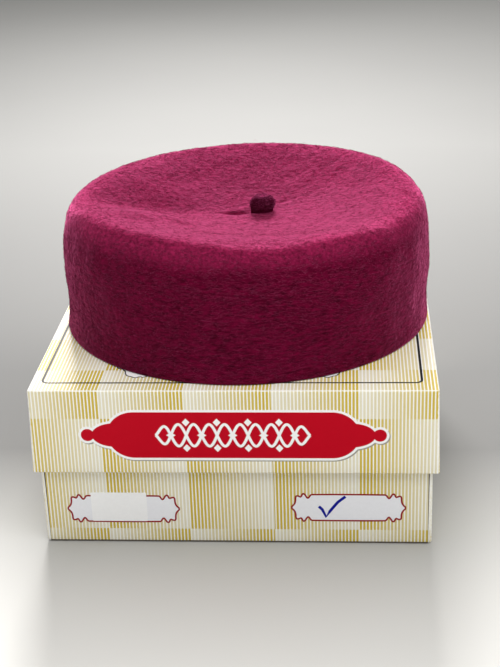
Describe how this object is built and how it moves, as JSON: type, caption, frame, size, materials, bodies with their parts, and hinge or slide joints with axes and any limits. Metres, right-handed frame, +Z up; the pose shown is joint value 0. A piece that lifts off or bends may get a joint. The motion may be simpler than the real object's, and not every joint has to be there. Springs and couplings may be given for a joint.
{
  "type": "felt fez hat on a cardboard hat box",
  "caption": "Short round felt fez with a dished top and a small nub, standing on a closed square lift-lid hat box in striped paper.",
  "frame": {"origin": "on the ground under the middle of the box the hat stands on", "axes": "+Z up; the printed front of the box, with the red panel, faces -Y; +X is to the right seen from the front"},
  "size_m": [0.189, 0.194, 0.1493],
  "materials": {
    "felt": "thick fulled wool felt, raised nap with fine fibres, deep wine red",
    "button_felt": "tight felt nub, very dark wine red",
    "lid_board": "box board covered in satin paper printed with gold stripes in checks, with a red panel",
    "base_board": "box board covered in satin paper printed with gold stripes in checks, with two blank label fields"
  },
  "bodies": {
    "root": {"crown": "felt", "top_button": "button_felt", "box_lid": "lid_board", "box_base": "base_board"}
  },
  "joints": []
}
